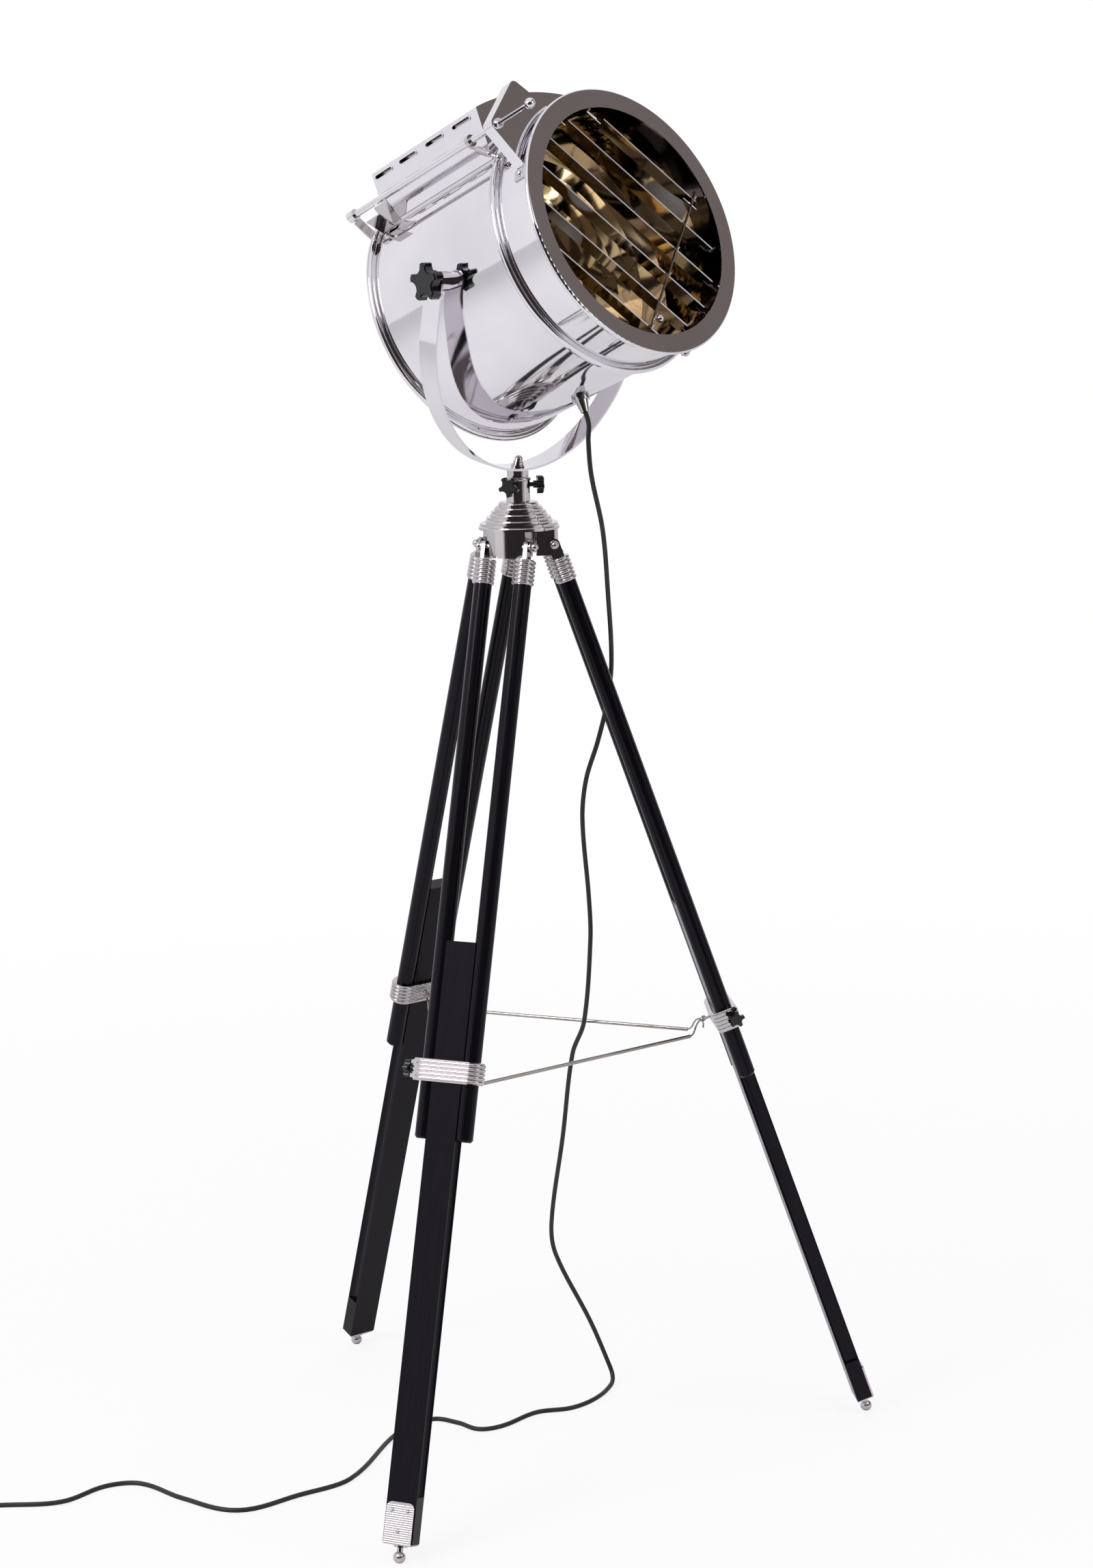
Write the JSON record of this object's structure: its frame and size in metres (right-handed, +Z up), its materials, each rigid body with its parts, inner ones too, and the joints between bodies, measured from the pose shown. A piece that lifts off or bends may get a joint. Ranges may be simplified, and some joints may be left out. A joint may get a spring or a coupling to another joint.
{
  "type": "tripod spotlight floor lamp",
  "caption": "Cinema-style spotlight on a folding wooden tripod, with a tilting and panning drum head, linked louvre shutter, extending legs and a trailing mains cord",
  "frame": {"origin": "centre of the footprint of the lamp without its cord, on the floor", "axes": "+X to the right and +Y away from the viewer as in the picture, +Z up; the head faces the viewer's right front"},
  "size_m": [1.3123, 0.8336, 1.8574],
  "materials": {
    "polished_metal": "polished nickel plate",
    "warm_metal": "polished, warm tinted",
    "lacquered_wood": "satin black lacquer",
    "black_plastic": "glossy black",
    "holder_black": "matt black",
    "cord_cover": "satin black cover",
    "bulb_glass": "frosted glass"
  },
  "bodies": {
    "hub": {"hub_dome": "polished_metal", "hub_lugs": "polished_metal", "neck_socket": "polished_metal", "hinge_rods": "polished_metal", "cord": "cord_cover", "cord_coil": "cord_cover", "plug": "black_plastic", "plug_pins": "polished_metal"},
    "neck_knob_front_body": {"neck_knob_front": "black_plastic"},
    "neck_knob_side_body": {"neck_knob_side": "black_plastic"},
    "yoke": {"yoke_strap": "polished_metal", "yoke_spigot": "polished_metal"},
    "head": {"pivot_studs": "polished_metal", "front_collar": "polished_metal", "drum_shell": "polished_metal", "rear_cover": "polished_metal", "bezel": "polished_metal", "bezel_tabs": "polished_metal", "louvre_ring": "polished_metal", "vent_housing": "polished_metal", "bracket_plate": "polished_metal", "rail": "polished_metal", "rail_stays": "polished_metal", "reflector": "warm_metal", "lamp_holder": "holder_black", "bulb": "bulb_glass", "cord_gland": "polished_metal"},
    "tilt_knob_left_body": {"tilt_knob_left": "black_plastic"},
    "tilt_knob_right_body": {"tilt_knob_right": "black_plastic"},
    "slat_1_body": {"slat_1": "polished_metal"},
    "slat_2_body": {"slat_2": "polished_metal"},
    "slat_3_body": {"slat_3": "polished_metal"},
    "slat_4_body": {"slat_4": "polished_metal"},
    "slat_5_body": {"slat_5": "polished_metal"},
    "slat_6_body": {"slat_6": "polished_metal"},
    "link": {"louvre_link": "polished_metal"},
    "leg_a_upper": {"leg_a_dowels": "lacquered_wood", "leg_a_ferrules": "polished_metal", "leg_a_clamp": "polished_metal"},
    "leg_a_lower": {"leg_a_board": "lacquered_wood", "leg_a_plate": "polished_metal", "leg_a_foot": "polished_metal"},
    "leg_a_knob_body": {"leg_a_knob": "black_plastic"},
    "leg_a_rod_body": {"leg_a_rod": "polished_metal"},
    "leg_b_upper": {"leg_b_dowels": "lacquered_wood", "leg_b_ferrules": "polished_metal", "leg_b_clamp": "polished_metal"},
    "leg_b_lower": {"leg_b_board": "lacquered_wood", "leg_b_plate": "polished_metal", "leg_b_foot": "polished_metal"},
    "leg_b_knob_body": {"leg_b_knob": "black_plastic"},
    "leg_b_rod_body": {"leg_b_rod": "polished_metal"},
    "leg_c_upper": {"leg_c_dowels": "lacquered_wood", "leg_c_ferrules": "polished_metal", "leg_c_clamp": "polished_metal"},
    "leg_c_lower": {"leg_c_board": "lacquered_wood", "leg_c_plate": "polished_metal", "leg_c_foot": "polished_metal"},
    "leg_c_knob_body": {"leg_c_knob": "black_plastic"},
    "leg_c_rod_body": {"leg_c_rod": "polished_metal"}
  },
  "joints": [
    {"name": "leg_a_fold", "type": "hinge", "parent": "hub", "child": "leg_a_upper", "pos_m": [-0.10341, -0.01438, 1.257], "axis": [0.9171, -0.3987, 0], "range_deg": [0, 14], "deforming": ["cord"]},
    {"name": "leg_a_slide", "type": "slide", "parent": "leg_a_upper", "child": "leg_a_lower", "axis": [-0.128, -0.2943, -0.9471], "range_m": [-0.45, 0.11]},
    {"name": "leg_a_knob_turn", "type": "hinge", "parent": "leg_a_upper", "child": "leg_a_knob_body", "pos_m": [-0.24235, -0.20855, 0.59913], "axis": [-0.9171, 0.3987, 0], "continuous": true},
    {"name": "leg_a_rod_swing", "type": "hinge", "parent": "leg_a_upper", "child": "leg_a_rod_body", "pos_m": [-0.1768, -0.19902, 0.58629], "axis": [-0.6561, 0.7547, 0], "range_deg": [0, 90]},
    {"name": "leg_b_fold", "type": "hinge", "parent": "hub", "child": "leg_b_upper", "pos_m": [-0.11172, 0.05858, 1.257], "axis": [-0.8039, -0.5948, 0], "range_deg": [0, 14]},
    {"name": "leg_b_slide", "type": "slide", "parent": "leg_b_upper", "child": "leg_b_lower", "axis": [-0.1909, 0.258, -0.9471], "range_m": [-0.45, 0.11]},
    {"name": "leg_b_knob_turn", "type": "hinge", "parent": "leg_b_upper", "child": "leg_b_knob_body", "pos_m": [-0.2104, 0.276, 0.59913], "axis": [0.8039, 0.5948, 0], "continuous": true},
    {"name": "leg_b_rod_swing", "type": "hinge", "parent": "leg_b_upper", "child": "leg_b_rod_body", "pos_m": [-0.23493, 0.21446, 0.58629], "axis": [0.9816, 0.1908, 0], "range_deg": [0, 90]},
    {"name": "leg_c_fold", "type": "hinge", "parent": "hub", "child": "leg_c_upper", "pos_m": [-0.04437, 0.0293, 1.257], "axis": [-0.1132, 0.9936, 0], "range_deg": [0, 14]},
    {"name": "leg_c_slide", "type": "slide", "parent": "leg_c_upper", "child": "leg_c_lower", "axis": [0.3188, 0.0363, -0.9471], "range_m": [-0.45, 0.11]},
    {"name": "leg_c_knob_turn", "type": "hinge", "parent": "leg_c_upper", "child": "leg_c_knob_body", "pos_m": [0.19325, 0.00605, 0.59913], "axis": [0.1132, -0.9936, 0], "continuous": true},
    {"name": "leg_c_rod_swing", "type": "hinge", "parent": "leg_c_upper", "child": "leg_c_rod_body", "pos_m": [0.15223, 0.05806, 0.58629], "axis": [-0.3256, -0.9455, 0], "range_deg": [0, 90]},
    {"name": "neck_knob_front_turn", "type": "hinge", "parent": "hub", "child": "neck_knob_front_body", "pos_m": [-0.09288, 0.00983, 1.335], "axis": [-0.3987, -0.9171, 0], "continuous": true},
    {"name": "neck_knob_side_turn", "type": "hinge", "parent": "hub", "child": "neck_knob_side_body", "pos_m": [-0.0706, 0.02631, 1.335], "axis": [0.9936, 0.1132, 0], "continuous": true},
    {"name": "yoke_pan", "type": "hinge", "parent": "hub", "child": "yoke", "pos_m": [-0.0865, 0.0245, 1.357], "axis": [0, 0, 1], "range_deg": [-170, 170], "deforming": ["cord"]},
    {"name": "head_tilt", "type": "hinge", "parent": "yoke", "child": "head", "pos_m": [-0.05296, -0.00845, 1.61068], "axis": [-0.7009, -0.7133, 0], "range_deg": [-55, 28], "deforming": ["cord"]},
    {"name": "tilt_knob_left_turn", "type": "hinge", "parent": "head", "child": "tilt_knob_left_body", "pos_m": [0.08021, 0.12706, 1.61068], "axis": [0.7009, 0.7133, 0], "continuous": true},
    {"name": "tilt_knob_right_turn", "type": "hinge", "parent": "head", "child": "tilt_knob_right_body", "pos_m": [-0.18614, -0.14397, 1.61068], "axis": [-0.7009, -0.7133, 0], "continuous": true},
    {"name": "slat_1_turn", "type": "hinge", "parent": "head", "child": "slat_1_body", "pos_m": [0.02026, -0.18086, 1.59921], "axis": [0.6988, 0.3387, -0.6301], "range_deg": [-30, 55]},
    {"name": "slat_2_turn", "type": "hinge", "parent": "head", "child": "slat_2_body", "pos_m": [0.03315, -0.14925, 1.63049], "axis": [0.6988, 0.3387, -0.6301], "range_deg": [-30, 55]},
    {"name": "slat_3_turn", "type": "hinge", "parent": "head", "child": "slat_3_body", "pos_m": [0.04604, -0.11765, 1.66178], "axis": [0.6988, 0.3387, -0.6301], "range_deg": [-30, 55]},
    {"name": "slat_4_turn", "type": "hinge", "parent": "head", "child": "slat_4_body", "pos_m": [0.05893, -0.08604, 1.69306], "axis": [0.6988, 0.3387, -0.6301], "range_deg": [-30, 55]},
    {"name": "slat_5_turn", "type": "hinge", "parent": "head", "child": "slat_5_body", "pos_m": [0.07182, -0.05444, 1.72434], "axis": [0.6988, 0.3387, -0.6301], "range_deg": [-30, 55]},
    {"name": "slat_6_turn", "type": "hinge", "parent": "head", "child": "slat_6_body", "pos_m": [0.08471, -0.02283, 1.75563], "axis": [0.6988, 0.3387, -0.6301], "range_deg": [-30, 55]},
    {"name": "link_swing", "type": "hinge", "parent": "slat_1_body", "child": "link", "pos_m": [0.08712, -0.1747, 1.55208], "axis": [0.6988, 0.3387, -0.6301], "range_deg": [-55, 30]}
  ],
  "couplings": [
    {"joint": "leg_a_rod_swing", "follows": "leg_a_fold", "ratio": 6.39},
    {"joint": "leg_b_fold", "follows": "leg_a_fold", "ratio": 1},
    {"joint": "leg_b_rod_swing", "follows": "leg_a_fold", "ratio": 6.39},
    {"joint": "leg_c_fold", "follows": "leg_a_fold", "ratio": 1},
    {"joint": "leg_c_rod_swing", "follows": "leg_a_fold", "ratio": 6.39},
    {"joint": "slat_2_turn", "follows": "slat_1_turn", "ratio": 1},
    {"joint": "slat_3_turn", "follows": "slat_1_turn", "ratio": 1},
    {"joint": "slat_4_turn", "follows": "slat_1_turn", "ratio": 1},
    {"joint": "slat_5_turn", "follows": "slat_1_turn", "ratio": 1},
    {"joint": "slat_6_turn", "follows": "slat_1_turn", "ratio": 1},
    {"joint": "link_swing", "follows": "slat_1_turn", "ratio": -1}
  ]
}
